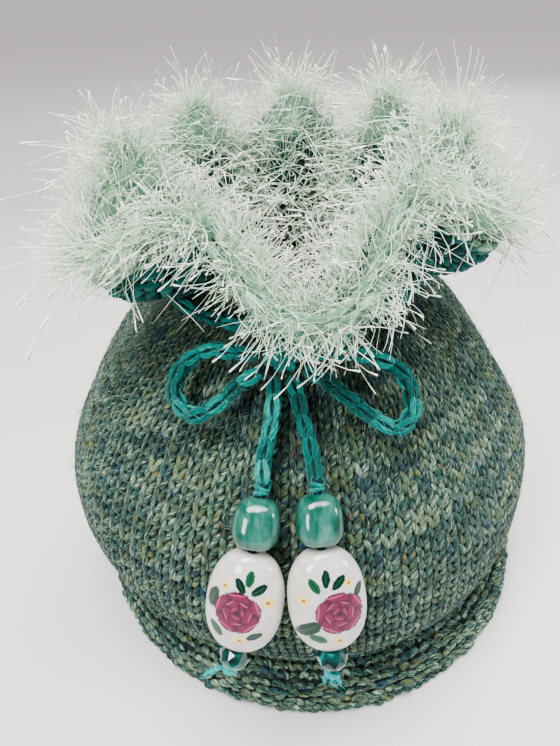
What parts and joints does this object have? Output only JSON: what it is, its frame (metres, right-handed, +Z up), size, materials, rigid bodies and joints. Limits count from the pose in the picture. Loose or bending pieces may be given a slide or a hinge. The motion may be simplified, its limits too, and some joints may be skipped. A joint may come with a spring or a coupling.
{
  "type": "knitted tea cosy",
  "caption": "Round knitted tweed tea cosy with a flared hem, spout and handle slits, a gathered neck, a fluted teal frill edged with eyelash yarn, and a crochet cord bow with beaded ends.",
  "frame": {"origin": "centre of the cosy's box from above, on the ground under the hem", "axes": "+Z up through the neck; the bow and the broad front lobe of the frill face -Y; the spout slit is at -X and the handle slit at +X"},
  "size_m": [0.1524, 0.1614, 0.1619],
  "materials": {
    "tweed": "heathered sage, blue and gold wool, matt",
    "teal_wool": "teal wool, matt",
    "mint_fur": "pale mint eyelash yarn, silky",
    "jade": "milky jade green, polished",
    "white_glaze": "white glazed ceramic with a rose motif",
    "crystal": "cut emerald-teal glass"
  },
  "bodies": {
    "root": {"body": "tweed", "frill_band": "teal_wool", "fur_edging": "mint_fur", "neck_cord": "teal_wool", "bow_knot": "teal_wool", "bow_loop_left": "teal_wool", "bow_loop_right": "teal_wool", "tail_left": "teal_wool", "tail_right": "teal_wool", "bead_thread_left": "teal_wool", "bead_thread_right": "teal_wool", "nugget_bead_left": "jade", "nugget_bead_right": "jade", "oval_bead_left": "white_glaze", "oval_bead_right": "white_glaze", "crystal_bead_left": "crystal", "crystal_bead_right": "crystal", "end_knot_left": "teal_wool", "end_knot_right": "teal_wool"}
  },
  "joints": []
}
